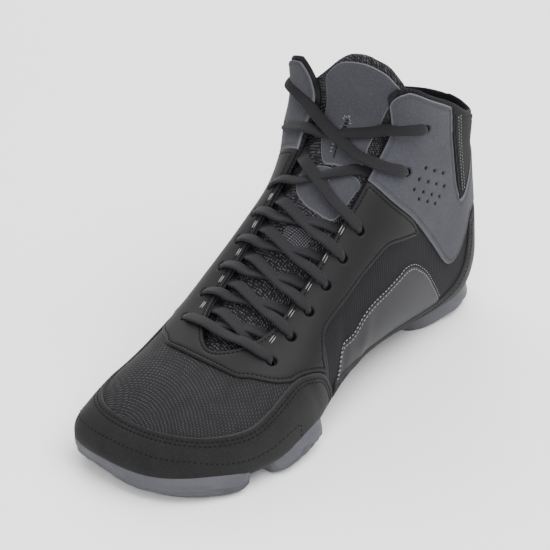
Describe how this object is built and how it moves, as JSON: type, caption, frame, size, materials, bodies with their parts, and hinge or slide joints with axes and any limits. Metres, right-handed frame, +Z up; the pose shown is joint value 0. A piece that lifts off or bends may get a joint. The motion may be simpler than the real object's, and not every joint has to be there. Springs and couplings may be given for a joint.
{
  "type": "wrestling shoe",
  "caption": "Left wrestling shoe: high soft upper with mesh toe, suede-like rands and ankle panels, padded tongue, split rubber sole and a flat lace crossing up to the ankle.",
  "frame": {"origin": "on the floor, at the middle of the heel rubber's flat tread, in the shoe's middle plane", "axes": "+X towards the toe, +Y to the wearer's left (the outer side of this left shoe), +Z up"},
  "size_m": [0.2778, 0.1072, 0.1897],
  "materials": {
    "upper_textile": "open mesh and ripstop over a dark backing",
    "dark_suede": "matt suede-like synthetic",
    "smooth_synthetic": "smooth matt synthetic",
    "grey_suede": "short-napped suede",
    "rubber": "moulded, satin",
    "lining": "knitted lining",
    "lace": "flat woven lace"
  },
  "bodies": {
    "root": {"upper": "upper_textile", "forefoot_outsole": "rubber", "heel_outsole": "rubber", "insole": "lining", "tongue": "grey_suede", "toe_rand": "dark_suede", "heel_rand": "dark_suede", "heel_patch": "dark_suede", "ankle_lateral": "grey_suede", "ankle_medial": "grey_suede", "eyestay": "smooth_synthetic", "lace_crossings": "lace"}
  },
  "joints": []
}
